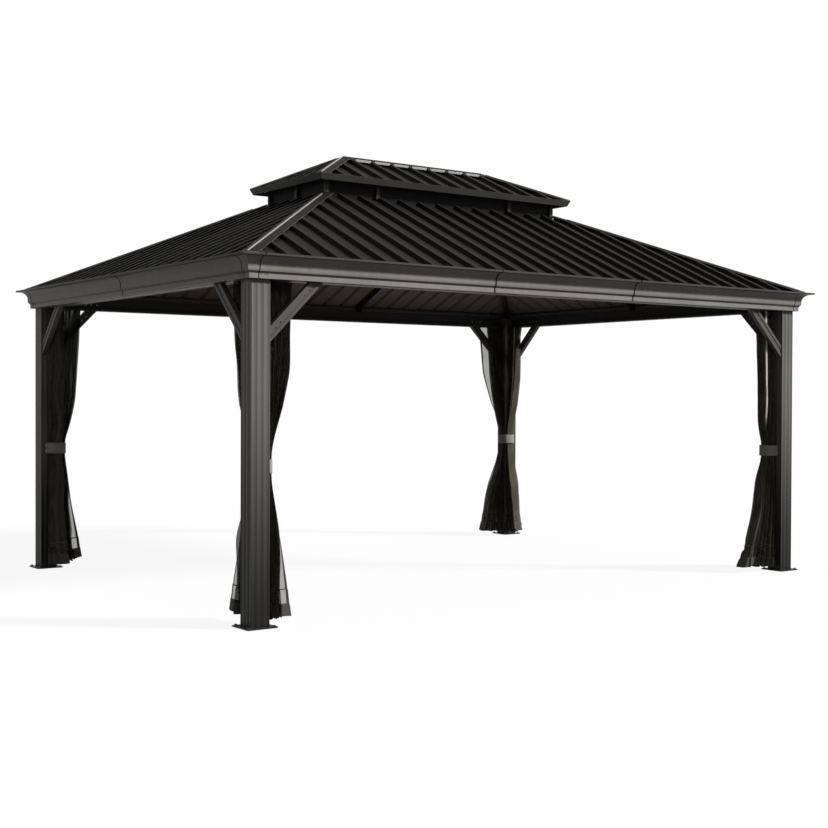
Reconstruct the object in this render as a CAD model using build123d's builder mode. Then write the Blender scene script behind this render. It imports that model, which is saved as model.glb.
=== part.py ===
from build123d import *
import math
import os
from collections import namedtuple

# A free-standing hardtop gazebo: four fluted posts, moulded eave fascias,
# a two-tier hipped roof of ribbed sheet, and netting tied back at each corner.
# Millimetres. +X runs along the long side, -Y is the front, the origin is on the ground
# at the centre.

# Main frame
frame_length = 4646.0  # over the outer faces of the posts, along X
frame_width = 3366.0  # over the outer faces of the posts, along Y
beam_bottom = 1955.0  # clear height under the beams
roof_pitch = 24.5  # degrees, the same on both tiers

# Clearances
seat_gap = 0.3  # between pieces that rest on or butt against each other
hip_gap = 0.6  # from a sheet's cut edge to the hip or ridge plane
cut_overrun = 30.0  # how far a cut runs past what it cuts

# Posts
post_size = 122.0
post_edge_break = 2.0
post_wall = 3.0
flutes_per_face = 3
flute_width = 34.0
flute_depth = 3.0

# Foot plates
plate_size = 200.0
plate_thickness = 6.0
plate_corner_cut = 12.0
anchor_spacing = 160.0
anchor_hole_radius = 5.5

# Beams
beam_width = 50.0
beam_height = 88.0
beam_wall = 2.5

# Knee braces
brace_reach = 350.0  # along the post and along the beam
brace_width = 62.0
brace_thickness = 36.0
brace_rim = 20.0  # flat border beside the channel
brace_channel_depth = 4.0

# Netting tracks, one under each beam's inner face
track_width = 40.0
track_height = 16.0
track_slot_width = 9.0
track_slot_depth = 10.0

# Eave fascia, its moulded face from the bottom up
fascia_wall = 2.5
fascia_lift = 3.0  # lower edge above the beams' underside
band_stand_off = 29.0  # flat lower band, from the frame's face
band_height = 30.0
bead_step = 10.0
bead_slope_height = 11.0
bead_bulge = 5.0
bead_height = 20.0
fillet_height = 9.0
cove_radius = 54.0
lip_length = 14.0
lip_height = 12.0
fascia_corner_leg = 60.0  # corner piece, along the band's face from its corner
fascia_seam = 7.0
long_fascia_seam = 605.0  # seams of the long fascias, from the centre

# Roof sheets
roof_sheet = 1.2
rib_pitch = 169.0
rib_base = 46.0
rib_top = 30.0
rib_height = 26.0
drip_projection = 52.0  # the lower sheets' edge, out from the frame's face
closure_thickness = 1.5  # strip that closes the rib ends at the eave

# Hip and ridge caps
cap_sheet = 1.2
cap_web = 0.6  # web that hangs between the sheets along each hip
hip_cap_width = 62.0  # each wing, along the eave
ridge_cap_width = 58.0  # each wing, down the slope

# Rafters
rafter_width = 40.0
rafter_depth = 50.0
rafter_wall = 2.5
rafter_spacing = 600.0  # common rafters of the long slopes, from the centre

# Vent between the tiers
vent_half_width = 400.0  # inner faces of the curb
curb_width = 40.0
curb_height = 60.0
sheet_stop = 3.0  # lower sheets' top edge, short of the stubs
vent_lift = 117.0  # upper eave above the lower sheets' top edge
stub_width = 30.0
stub_depth = 20.0
screen_thickness = 2.0  # dark panels behind the stubs

# Upper tier
upper_overhang = 85.0
ring_width = 30.0
ring_height = 26.0
upper_bar_width = 24.0
upper_bar_depth = 30.0
trim_wall = 2.0
trim_drop = 20.0
trim_return = 22.0

# Netting, gathered round each post's inner corner as one closed bundle with two wings
netting_gap = 8.0  # clear of the post's faces
netting_reach = 185.0  # along a track from the post, at the top
netting_depth = 105.0  # across a wing
netting_lift = 28.0  # hem above the ground
tie_height = 905.0  # middle of the tie band
tie_band = 80.0
tie_wall = 2.5
waist_reach = 58.0
waist_outer = 82.0  # from the post's inner corner, out beside the post
waist_inner = 42.0  # from the post's inner corner, in
# Free sections: height as a share of the fall, reach, and outer and inner edge as shares of the depth
upper_bundle_shares = [(1.0, 1.0, 0.62, 0.33), (0.81, 0.95, 0.62, 0.38), (0.63, 0.62, 0.80, 0.46)]
hem_outer_share = 1.14
hem_inner_share = 0.72
# The hem spreads further in some corners
hem_reaches = {"front_left": 222.0, "front_right": 324.0, "back_right": 268.0, "back_left": 213.0}

# Derived sizes
slope = math.radians(roof_pitch)
half_length = frame_length / 2
half_width = frame_width / 2
beam_top = beam_bottom + beam_height
fascia_bottom = beam_bottom + fascia_lift
fascia_reach = band_stand_off + bead_step + bead_bulge + cove_radius + lip_length
sheet_rise = math.tan(slope)
sheet_stack = roof_sheet + seat_gap  # under a sheet's top face, square to the slope
flute_radius = (flute_width**2 / 4 + flute_depth**2) / (2 * flute_depth)
post_bore = post_size - 2 * (flute_depth + post_wall)
post_offset_x = half_length - post_size / 2
post_offset_y = half_width - post_size / 2
vent_half_length = vent_half_width + half_length - half_width
frame_sheet_height = beam_top + seat_gap + (rafter_depth + sheet_stack) / math.cos(slope)
lower_eave_height = frame_sheet_height - drip_projection * sheet_rise
lower_run = drip_projection + half_width - vent_half_width - sheet_stop
lower_top_height = lower_eave_height + lower_run * sheet_rise
upper_eave_height = lower_top_height + vent_lift

Tier = namedtuple("Tier", "half_length half_width height run")
lower_tier = Tier(half_length + drip_projection, half_width + drip_projection, lower_eave_height, lower_run)
upper_tier = Tier(
    vent_half_length + upper_overhang,
    vent_half_width + upper_overhang,
    upper_eave_height,
    vent_half_width + upper_overhang,
)

# Each side is described facing the front and turned about Z to its place
sides = {"front": 0, "right": 90, "back": 180, "left": 270}
# The corner at the -X end of each side, and the side that meets it there
corners = {
    "front_left": ("front", "left"),
    "front_right": ("right", "front"),
    "back_right": ("back", "right"),
    "back_left": ("left", "back"),
}

os.makedirs("parts", exist_ok=True)


def save(piece, name):
    piece.part.label = name
    export_step(piece.part, f"parts/{name}.step")


def place(side, x, y, z):
    """A point or direction given for the front side, turned to the named side."""
    return Plane.XY.rotated((0, 0, sides[side])).from_local_coords(Vector(x, y, z))


def side_halves(side, along, depth):
    """Half the side's own length and its distance from the centre."""
    return (along, depth) if side in ("front", "back") else (depth, along)


def corner_signs(corner):
    return (1 if "right" in corner else -1, 1 if "back" in corner else -1)


def section_plane(side, x, y, z):
    """A cross-section plane of a side: x points outwards, y up, extrusion runs to -X."""
    return Plane(place(side, x, y, z), x_dir=place(side, 0, -1, 0), z_dir=place(side, -1, 0, 0))


def upright_plane(side, y):
    """A vertical plane along the side, to split by with its +Y side on top."""
    return Plane(place(side, 0, y, 0), z_dir=place(side, 0, 1, 0))


def hip_plane(side, end, tier, gap):
    """The vertical plane over a hip, with the side's own slope on top."""
    along, depth = side_halves(side, tier.half_length, tier.half_width)
    inward = place(side, -end, -1, 0).normalized()
    return Plane(place(side, end * along, -depth, 0) + inward * gap, z_dir=inward)


def slope_plane(side, tier):
    """Cross-section of a slope at its eave: x along the eave, y square to the sheet."""
    _, depth = side_halves(side, tier.half_length, tier.half_width)
    down = place(side, 0, -math.cos(slope), -math.sin(slope))
    return Plane(place(side, 0, -depth, tier.height), x_dir=place(side, 1, 0, 0), z_dir=down)


def underside_plane(side, tier):
    """The face on which a slope's sheet is seated, pointing up and out."""
    section = slope_plane(side, tier)
    return Plane(section.origin - section.y_dir * sheet_stack, z_dir=section.y_dir)


def height_under(tier, inset):
    """Height under a sheet, with its seating gap, at a plan distance in from the eave."""
    return tier.height + inset * sheet_rise - sheet_stack / math.cos(slope)


curb_top = height_under(lower_tier, lower_tier.half_width - vent_half_width - curb_width)
ring_bottom = height_under(upper_tier, upper_overhang) - ring_height


# Posts and foot plates
def make_post(corner):
    sx, sy = corner_signs(corner)
    foot = Plane((sx * post_offset_x, sy * post_offset_y, plate_thickness))
    with BuildPart() as post:
        with BuildSketch(foot) as section:
            Rectangle(post_size, post_size)
            chamfer(section.vertices(), post_edge_break)
            with PolarLocations(post_size / 2 + flute_radius - flute_depth, 4):
                with GridLocations(0, post_size / flutes_per_face, 1, flutes_per_face):
                    Circle(flute_radius, mode=Mode.SUBTRACT)
            Rectangle(post_bore, post_bore, mode=Mode.SUBTRACT)
        extrude(amount=beam_top - plate_thickness)
    save(post, f"{corner}_post")


def make_foot_plate(corner):
    sx, sy = corner_signs(corner)
    with BuildPart() as plate:
        with BuildSketch(Plane((sx * post_offset_x, sy * post_offset_y, 0))) as outline:
            Rectangle(plate_size, plate_size)
            chamfer(outline.vertices(), plate_corner_cut)
        extrude(amount=plate_thickness)
        with Locations(plate.faces().sort_by(Axis.Z)[-1]):
            with GridLocations(anchor_spacing, anchor_spacing, 2, 2):
                Hole(anchor_hole_radius)
    save(plate, f"{corner}_foot_plate")


# Beams, braces and netting tracks
def make_beam(side):
    along, depth = side_halves(side, half_length, half_width)
    clear = along - post_size - seat_gap
    middle = section_plane(side, clear, -depth + beam_width / 2, beam_bottom + beam_height / 2)
    with BuildPart() as beam:
        with BuildSketch(middle):
            Rectangle(beam_width, beam_height)
            Rectangle(beam_width - 2 * beam_wall, beam_height - 2 * beam_wall, mode=Mode.SUBTRACT)
        extrude(amount=2 * clear)
    save(beam, f"{side}_beam")


def brace_outline(side, end, near, far):
    """Points of a 45 degree bar between two lines, measured up from its lower edge."""
    along, _ = side_halves(side, half_length, half_width)
    post_face = along - post_size - seat_gap
    top = beam_bottom - seat_gap
    shift_near = near * math.sqrt(2)
    shift_far = far * math.sqrt(2)
    return [
        (end * post_face, top - brace_reach + shift_near),
        (end * (post_face - brace_reach + shift_near), top),
        (end * (post_face - brace_reach + shift_far), top),
        (end * post_face, top - brace_reach + shift_far),
    ]


def make_brace(side, end):
    _, depth = side_halves(side, half_length, half_width)
    faces_out = place(side, 0, -1, 0)
    middle = Plane(place(side, 0, -depth + beam_width / 2, 0), x_dir=place(side, 1, 0, 0), z_dir=faces_out)
    channel_floor = brace_thickness / 2 - brace_channel_depth
    with BuildPart() as brace:
        with BuildSketch(middle):
            Polygon(*brace_outline(side, end, 0, brace_width), align=None)
        extrude(amount=brace_thickness / 2, both=True)
        with BuildSketch(middle.offset(channel_floor), middle.offset(-brace_thickness / 2)):
            Polygon(*brace_outline(side, end, brace_rim, brace_width - brace_rim), align=None)
        extrude(amount=brace_channel_depth, mode=Mode.SUBTRACT)
    return brace.part


def make_corner_braces(corner):
    side, other_side = corners[corner]
    first = make_brace(side, -1)
    second = make_brace(other_side, 1)
    with BuildPart() as braces:
        add(first)
        add(second)
    save(braces, f"{corner}_knee_braces")


def make_track(side):
    along, depth = side_halves(side, half_length, half_width)
    clear = along - post_size - seat_gap
    inner_face = -depth + beam_width + seat_gap
    middle = section_plane(side, clear, inner_face + track_width / 2, beam_bottom)
    with BuildPart() as track:
        with BuildSketch(middle):
            Rectangle(track_width, track_height, align=(Align.CENTER, Align.MIN))
            with GridLocations(track_width / 2, 0, 2, 1):
                bottom = (Align.CENTER, Align.MIN)
                Rectangle(track_slot_width, track_slot_depth, align=bottom, mode=Mode.SUBTRACT)
        extrude(amount=2 * clear)
    return track.part


def make_tracks():
    tracks = [make_track(side) for side in sides]
    with BuildPart() as all_tracks:
        add(tracks)
    save(all_tracks, "netting_tracks")


# Eave fascias
def fascia_profile(plane):
    """The fascia's open section, one wall thick: moulded face, floor and a back up to the sheets."""
    bead_root = fascia_bottom + band_height
    bead_foot = bead_root + bead_slope_height
    bead_crown = bead_foot + bead_height
    cove_foot = bead_crown + fillet_height
    bead_face = band_stand_off + bead_step
    cove_face = bead_face + bead_bulge
    cove_edge = cove_face + cove_radius
    lip_under = cove_foot + cove_radius
    flange_top = height_under(lower_tier, drip_projection - seat_gap - fascia_wall) - seat_gap
    with BuildSketch(plane) as profile:
        with BuildLine():
            Polyline(
                (fascia_reach, lip_under + lip_height),
                (fascia_reach, lip_under),
                (cove_edge, lip_under),
            )
            TangentArc((cove_edge, lip_under), (cove_face, cove_foot), tangent=(-1, 0))
            Line((cove_face, cove_foot), (cove_face, bead_crown))
            TangentArc((cove_face, bead_crown), (bead_face, bead_foot), tangent=(0, -1))
            Polyline(
                (bead_face, bead_foot),
                (band_stand_off, bead_root),
                (band_stand_off, fascia_bottom),
                (seat_gap, fascia_bottom),
                (seat_gap, flange_top),
            )
            offset(amount=fascia_wall, kind=Kind.INTERSECTION, side=Side.RIGHT)
        make_face()
    return profile.sketch


def make_fascia(side):
    along, depth = side_halves(side, half_length, half_width)
    end = along + band_stand_off - fascia_corner_leg
    middle_seams = [-long_fascia_seam, long_fascia_seam] if side in ("front", "back") else [0]
    cuts = [-end, *middle_seams, end]
    with BuildPart() as fascia:
        for start, stop in zip(cuts, cuts[1:]):
            section = section_plane(side, stop - fascia_seam / 2, -depth, 0)
            extrude(fascia_profile(section), amount=stop - start - fascia_seam)
    save(fascia, f"{side}_fascia")


def fascia_leg(side, end):
    """Half of a corner piece: a short length of fascia, mitred at the end of its side."""
    along, depth = side_halves(side, half_length, half_width)
    leg = fascia_corner_leg - band_stand_off
    section = section_plane(side, end * (along - leg), -depth, 0)
    with BuildPart() as length:
        extrude(fascia_profile(section), amount=-end * (leg + fascia_reach + cut_overrun))
        split(bisect_by=hip_plane(side, end, lower_tier, 0), keep=Keep.TOP)
    return length.part


def make_fascia_corner(corner):
    side, other_side = corners[corner]
    legs = [fascia_leg(side, -1), fascia_leg(other_side, 1)]
    with BuildPart() as cap:
        add(legs)
    save(cap, f"{corner}_fascia_corner")


# Roof sheets, caps and rafters
def rib_centres(half_eave):
    count = math.floor((half_eave - rib_base) / rib_pitch + 1 / 2)
    positive = [(i + 1 / 2) * rib_pitch for i in range(count)]
    return [-x for x in reversed(positive)] + positive


def sheet_outline(half_eave):
    """The folded section of a ribbed sheet, its top face and then its underside."""
    flank = math.atan2(rib_height, (rib_base - rib_top) / 2)
    inset = roof_sheet * math.tan(flank / 2)
    top_face = [(-half_eave, 0)]
    underside = [(-half_eave, -roof_sheet)]
    for x in rib_centres(half_eave):
        for points, narrow, drop in ((top_face, 0, 0), (underside, inset, roof_sheet)):
            points.append((x - rib_base / 2 + narrow, -drop))
            points.append((x - rib_top / 2 + narrow, rib_height - drop))
            points.append((x + rib_top / 2 - narrow, rib_height - drop))
            points.append((x + rib_base / 2 - narrow, -drop))
    top_face.append((half_eave, 0))
    underside.append((half_eave, -roof_sheet))
    return top_face + underside[::-1]


def make_roof_slope(side, tier, tier_name, closed_eave):
    along, _ = side_halves(side, tier.half_length, tier.half_width)
    section = slope_plane(side, tier)
    with BuildPart() as sheet:
        with BuildSketch(section):
            Polygon(*sheet_outline(along), align=None)
        extrude(amount=-tier.run / math.cos(slope))
        if closed_eave:
            with BuildSketch(section):
                with Locations((0, -roof_sheet)):
                    Rectangle(2 * along, rib_height + roof_sheet, align=(Align.CENTER, Align.MIN))
            extrude(amount=-closure_thickness)
        split(bisect_by=hip_plane(side, -1, tier, hip_gap), keep=Keep.TOP)
        split(bisect_by=hip_plane(side, 1, tier, hip_gap), keep=Keep.TOP)
        split(bisect_by=upright_plane(side, -hip_gap), keep=Keep.BOTTOM)
    save(sheet, f"{tier_name}_roof_{side}")


def cap_wing(side, end, tier):
    """One wing of a hip cap, lying on the ribs of one slope."""
    along, _ = side_halves(side, tier.half_length, tier.half_width)
    section = slope_plane(side, tier)
    over_ribs = section.origin + section.y_dir * (rib_height + seat_gap)
    face = Plane(over_ribs, x_dir=section.x_dir, z_dir=section.y_dir)
    top = along - tier.run
    with BuildPart() as wing:
        with BuildSketch(face):
            Polygon(
                (end * (along + cut_overrun), 0),
                (end * (top + cut_overrun), tier.run / math.cos(slope)),
                (end * (top - hip_cap_width), tier.run / math.cos(slope)),
                (end * (along - hip_cap_width), 0),
                align=None,
            )
        extrude(amount=cap_sheet)
        split(bisect_by=hip_plane(side, end, tier, 0), keep=Keep.TOP)
        split(bisect_by=upright_plane(side, -hip_gap), keep=Keep.BOTTOM)
        if along == tier.run:
            centre = Plane(place(side, end * hip_gap, 0, 0), z_dir=place(side, end, 0, 0))
            split(bisect_by=centre, keep=Keep.TOP)
    return wing.part


def cap_web_under(corner, tier):
    """The web of a hip cap, from the sheets' edges up to the wings."""
    sx, sy = corner_signs(corner)
    eave = Vector(sx * tier.half_length, sy * tier.half_width, tier.height)
    inward = Vector(-sx, -sy, 0).normalized()
    run = (tier.run - hip_gap) * math.sqrt(2)
    rise = (tier.run - hip_gap) * sheet_rise
    height = (rib_height + seat_gap + cap_sheet) / math.cos(slope)
    with BuildPart() as web:
        with BuildSketch(Plane(eave, x_dir=inward, z_dir=inward.cross(Vector(0, 0, 1)))):
            Polygon((0, 0), (run, rise), (run, rise + height), (0, height), align=None)
        extrude(amount=cap_web / 2, both=True)
    return web.part


def make_hip_caps(tier, tier_name):
    wings = []
    for corner, (side, other_side) in corners.items():
        wings.append(cap_wing(side, -1, tier))
        wings.append(cap_wing(other_side, 1, tier))
        wings.append(cap_web_under(corner, tier))
    with BuildPart() as caps:
        add(wings)
    save(caps, f"{tier_name}_hip_caps")


def ridge_wing(side):
    section = slope_plane(side, upper_tier)
    over_hip_caps = rib_height + cap_sheet + 2 * seat_gap
    face = Plane(section.origin + section.y_dir * over_hip_caps, x_dir=section.x_dir, z_dir=section.y_dir)
    ridge_half = upper_tier.half_length - upper_tier.run
    slope_length = upper_tier.run / math.cos(slope)
    with BuildPart() as wing:
        with BuildSketch(face):
            with Locations((0, slope_length - ridge_cap_width)):
                Rectangle(2 * ridge_half, ridge_cap_width + cut_overrun, align=(Align.CENTER, Align.MIN))
        extrude(amount=cap_sheet)
        split(bisect_by=upright_plane(side, 0), keep=Keep.BOTTOM)
    return wing.part


def make_ridge_cap():
    wings = [ridge_wing("front"), ridge_wing("back")]
    with BuildPart() as cap:
        add(wings)
    save(cap, "ridge_cap")


def common_rafter(side, x):
    _, depth = side_halves(side, half_length, half_width)
    section = slope_plane(side, lower_tier)
    _, curb_face = side_halves(side, vent_half_length + curb_width, vent_half_width + curb_width)
    with BuildPart() as rafter:
        with BuildSketch(section):
            with Locations((x, -sheet_stack - rafter_depth / 2)):
                Rectangle(rafter_width, rafter_depth)
                Rectangle(rafter_width - 2 * rafter_wall, rafter_depth - 2 * rafter_wall, mode=Mode.SUBTRACT)
        extrude(amount=-(lower_tier.run + cut_overrun) / math.cos(slope))
        split(bisect_by=upright_plane(side, -depth), keep=Keep.TOP)
        split(bisect_by=upright_plane(side, -curb_face - seat_gap), keep=Keep.BOTTOM)
    return rafter.part


def make_common_rafters():
    rafters = []
    for side in ("front", "back"):
        rafters.append(common_rafter(side, -rafter_spacing))
        rafters.append(common_rafter(side, rafter_spacing))
    for side in ("left", "right"):
        rafters.append(common_rafter(side, 0))
    with BuildPart() as all_rafters:
        add(rafters)
    save(all_rafters, "common_rafters")


def hip_bar(corner, tier, width, depth, foot, head):
    """A bar under a hip, its top backed to both slopes. Foot, head: plan insets of its ends."""
    sx, sy = corner_signs(corner)
    side, other_side = corners[corner]
    eave = Vector(sx * tier.half_length, sy * tier.half_width, 0)
    inward = Vector(-sx, -sy, 0).normalized()
    sideways = inward.cross(Vector(0, 0, 1))
    diagonal = math.sqrt(2)
    foot_top = height_under(tier, foot)
    head_top = height_under(tier, head)
    with BuildPart() as bar:
        with BuildSketch(Plane(eave, x_dir=inward, z_dir=sideways)):
            Polygon(
                (foot * diagonal, foot_top - depth),
                (head * diagonal, head_top - depth),
                (head * diagonal, head_top),
                (foot * diagonal, foot_top),
                align=None,
            )
        extrude(amount=width / 2, both=True)
        split(bisect_by=underside_plane(side, tier), keep=Keep.BOTTOM)
        split(bisect_by=underside_plane(other_side, tier), keep=Keep.BOTTOM)
    return bar.part


def make_hip_rafters():
    foot = drip_projection + rafter_width / (2 * math.sqrt(2)) + seat_gap
    head = lower_tier.half_width - vent_half_width - curb_width - seat_gap
    depth = rafter_depth / math.cos(slope)
    bars = [hip_bar(corner, lower_tier, rafter_width, depth, foot, head) for corner in corners]
    with BuildPart() as rafters:
        add(bars)
    save(rafters, "hip_rafters")


# Vent and upper tier
def bar_ring(outer_length, outer_width, width, bottom, height):
    """Four butted bars around a rectangle, given by the half sizes of its outer faces."""
    with BuildPart() as ring:
        with BuildSketch(Plane.XY.offset(bottom)):
            with GridLocations(0, 2 * outer_width - width, 1, 2):
                Rectangle(2 * outer_length, width)
            with GridLocations(2 * outer_length - width, 0, 2, 1):
                Rectangle(width, 2 * (outer_width - width - seat_gap))
        extrude(amount=height)
    return ring.part


def make_vent_curb():
    outer_length = vent_half_length + curb_width
    outer_width = vent_half_width + curb_width
    bars = bar_ring(outer_length, outer_width, curb_width, curb_top - curb_height, curb_height)
    with BuildPart() as curb:
        add(bars)
    save(curb, "vent_curb")


def make_vent_stubs():
    row_y = vent_half_width - seat_gap - stub_depth / 2
    end_x = vent_half_length - seat_gap - stub_depth / 2
    corner_x = vent_half_length - seat_gap - stub_width / 2
    foot = curb_top - curb_height
    with BuildPart() as stubs:
        with BuildSketch(Plane.XY.offset(foot)):
            with GridLocations(2 * rafter_spacing, 2 * row_y, 2, 2):
                Rectangle(stub_width, stub_depth)
            with GridLocations(2 * corner_x, 2 * row_y, 2, 2):
                Rectangle(stub_width, stub_depth)
            with GridLocations(2 * end_x, 0, 2, 1):
                Rectangle(stub_depth, stub_width)
        extrude(amount=ring_bottom - seat_gap - foot)
    save(stubs, "vent_stub_posts")


def make_vent_screens():
    inset = stub_depth + 2 * seat_gap
    foot = curb_top - curb_height
    outer_length = vent_half_length - inset
    outer_width = vent_half_width - inset
    panels = bar_ring(outer_length, outer_width, screen_thickness, foot, ring_bottom - seat_gap - foot)
    with BuildPart() as screens:
        add(panels)
    save(screens, "vent_screens")


def make_ridge_bar():
    ridge_half = upper_tier.half_length - upper_tier.run
    top = height_under(upper_tier, upper_tier.run)
    with BuildPart() as bar:
        with BuildSketch(Plane.XY.offset(top - upper_bar_depth)):
            Rectangle(2 * ridge_half, upper_bar_width)
        extrude(amount=upper_bar_depth)
        split(bisect_by=underside_plane("front", upper_tier), keep=Keep.BOTTOM)
        split(bisect_by=underside_plane("back", upper_tier), keep=Keep.BOTTOM)
    return bar.part


def make_upper_frame():
    ring = bar_ring(vent_half_length, vent_half_width, ring_width, ring_bottom, ring_height)
    corner_relief = upper_bar_width / (2 * math.sqrt(2))
    foot = upper_overhang + ring_width + corner_relief + seat_gap
    head = upper_tier.run - corner_relief - hip_gap
    bars = [hip_bar(c, upper_tier, upper_bar_width, upper_bar_depth, foot, head) for c in corners]
    ridge_bar = make_ridge_bar()
    with BuildPart() as frame:
        add(ring)
        add(bars)
        add(ridge_bar)
    save(frame, "upper_roof_frame")


def make_eave_trim(side):
    """An angle over the upper sheets' edge, square to the slope and mitred at its ends."""
    along, depth = side_halves(side, upper_tier.half_length, upper_tier.half_width)
    end = along + cut_overrun + rib_height
    outer = seat_gap + trim_wall
    eave = place(side, end, -depth, upper_tier.height)
    down = place(side, 0, -math.cos(slope), -math.sin(slope))
    with BuildPart() as trim:
        with BuildSketch(Plane(eave, x_dir=down, z_dir=place(side, -1, 0, 0))):
            Polygon(
                (outer, rib_height),
                (seat_gap, rib_height),
                (seat_gap, trim_wall - trim_drop),
                (outer - trim_return, trim_wall - trim_drop),
                (outer - trim_return, -trim_drop),
                (outer, -trim_drop),
                align=None,
            )
        extrude(amount=2 * end)
        split(bisect_by=hip_plane(side, -1, upper_tier, hip_gap), keep=Keep.TOP)
        split(bisect_by=hip_plane(side, 1, upper_tier, hip_gap), keep=Keep.TOP)
    return trim.part


def make_upper_trim():
    lengths = [make_eave_trim(side) for side in sides]
    with BuildPart() as trim:
        add(lengths)
    save(trim, "upper_eave_trim")


# Netting bundles and their ties
def corner_plane(corner, height):
    """A level plane at a post's inner corner, its axes along the tracks of both sides."""
    side, _ = corners[corner]
    along, depth = side_halves(side, half_length, half_width)
    return Plane(place(side, post_size - along, post_size - depth, height), x_dir=place(side, 1, 0, 0))


def bundle_levels(corner):
    """Height, reach, outer and inner edge of a bundle's wing, from the top down."""
    fall = beam_bottom - seat_gap - netting_lift
    levels = []
    for height, reach, outer, inner in upper_bundle_shares:
        size = (reach * netting_reach, outer * netting_depth, inner * netting_depth)
        levels.append((netting_lift + height * fall, *size))
    for height in (tie_height + tie_band / 2, tie_height - tie_band / 2):
        levels.append((height, waist_reach, waist_outer, waist_inner))
    hem = (hem_reaches[corner], hem_outer_share * netting_depth, hem_inner_share * netting_depth)
    return [*levels, (netting_lift, *hem)]


def netting_wing(corner, run, across):
    """One wing of a bundle, hung under a track: where its side and end outlines meet."""
    levels = bundle_levels(corner)
    foot = corner_plane(corner, 0).origin
    up = Vector(0, 0, 1)
    near_post = [(netting_gap, netting_lift), (netting_gap, beam_bottom - seat_gap)]
    far_end = [(reach, height) for height, reach, *_ in levels]
    inner_edge = [(inner, height) for height, _, _, inner in reversed(levels)]
    outer_edge = [(-outer, height) for height, _, outer, _ in levels]
    with BuildPart() as wing:
        with BuildSketch(Plane(foot, x_dir=run, z_dir=run.cross(up))):
            Polygon(*near_post, *far_end, align=None)
        extrude(amount=frame_width / 2, both=True)
        with BuildSketch(Plane(foot, x_dir=across, z_dir=across.cross(up))):
            Polygon(*inner_edge, *outer_edge, align=None)
        extrude(amount=frame_width / 2, both=True, mode=Mode.INTERSECT)
    return wing.part


def make_netting(corner):
    level = corner_plane(corner, 0)
    wings = [netting_wing(corner, level.x_dir, level.y_dir), netting_wing(corner, level.y_dir, level.x_dir)]
    with BuildPart() as netting:
        add(wings)
    save(netting, f"{corner}_netting")


def make_tie(corner):
    """A strap that holds the waist against the post, from one of its faces round to the other."""
    face = waist_reach + seat_gap
    end = -waist_outer - seat_gap
    with BuildPart() as tie:
        with BuildSketch(corner_plane(corner, tie_height - tie_band / 2)):
            with BuildLine():
                Polyline(
                    (seat_gap, end),
                    (face, end),
                    (face, waist_inner),
                    (waist_inner, face),
                    (end, face),
                    (end, seat_gap),
                )
                offset(amount=tie_wall, kind=Kind.INTERSECTION, side=Side.RIGHT)
            make_face()
        extrude(amount=tie_band)
    return tie.part


def make_ties():
    bands = [make_tie(corner) for corner in corners]
    with BuildPart() as ties:
        add(bands)
    save(ties, "netting_ties")


if __name__ == "__main__":
    for corner in corners:
        make_post(corner)
        make_foot_plate(corner)
        make_corner_braces(corner)
        make_fascia_corner(corner)
    for side in sides:
        make_beam(side)
        make_fascia(side)
        make_roof_slope(side, lower_tier, "lower", True)
        make_roof_slope(side, upper_tier, "upper", False)
    make_tracks()
    make_hip_caps(lower_tier, "lower")
    make_hip_caps(upper_tier, "upper")
    make_ridge_cap()
    make_common_rafters()
    make_hip_rafters()
    make_vent_curb()
    make_vent_stubs()
    make_vent_screens()
    make_upper_frame()
    make_upper_trim()
    for corner in corners:
        make_netting(corner)
    make_ties()
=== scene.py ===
"""Looks of a free-standing hardtop gazebo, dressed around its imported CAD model."""

import math

import bmesh
import bpy
import numpy as np
from bpy.props import FloatProperty, FloatVectorProperty, IntProperty, PointerProperty
from mathutils import Matrix, Vector


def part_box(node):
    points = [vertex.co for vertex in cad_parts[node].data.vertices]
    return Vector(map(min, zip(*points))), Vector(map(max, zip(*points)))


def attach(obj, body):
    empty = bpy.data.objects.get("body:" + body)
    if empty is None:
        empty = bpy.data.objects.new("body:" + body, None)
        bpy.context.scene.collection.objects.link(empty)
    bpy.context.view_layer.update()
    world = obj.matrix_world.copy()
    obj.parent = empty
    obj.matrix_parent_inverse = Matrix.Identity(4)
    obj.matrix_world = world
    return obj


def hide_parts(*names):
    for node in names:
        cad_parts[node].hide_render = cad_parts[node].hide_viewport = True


bl_info = {
    "name": "Hardtop Gazebo",
    "version": (1, 0, 0),
    "blender": (4, 5, 0),
    "location": "3D View > Sidebar > Gazebo",
    "description": "Dresses the gazebo's frame with paint, closures, fasteners and tied netting",
    "category": "Object",
}

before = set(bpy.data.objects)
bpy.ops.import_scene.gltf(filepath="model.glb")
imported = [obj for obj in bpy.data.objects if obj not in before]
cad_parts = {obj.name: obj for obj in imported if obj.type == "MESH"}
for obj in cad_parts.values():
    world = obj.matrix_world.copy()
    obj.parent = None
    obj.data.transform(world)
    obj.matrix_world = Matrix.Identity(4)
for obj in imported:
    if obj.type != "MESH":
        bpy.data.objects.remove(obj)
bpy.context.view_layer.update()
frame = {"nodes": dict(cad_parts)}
nodes = frame["nodes"]

corners = {"front_left": (-1, -1), "front_right": (1, -1), "back_right": (1, 1), "back_left": (-1, 1)}
sides = {"front": (0, -1), "right": (1, 0), "back": (0, 1), "left": (-1, 0)}
roof_slope = math.radians(24.5)


def linear(red, green, blue):
    """An 8-bit sRGB colour as the linear values that sockets take."""
    shares = [c / 255 for c in (red, green, blue)]
    return tuple(s / 12.92 if s <= 0.04045 else ((s + 0.055) / 1.055) ** 2.4 for s in shares)


def colour_property(name, description, default):
    return FloatVectorProperty(
        name=name, description=description, default=default, subtype="COLOR", size=3, min=0, max=1
    )


def length_property(name, description, default):
    return FloatProperty(name=name, description=description, default=default, unit="LENGTH", min=0)


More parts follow.
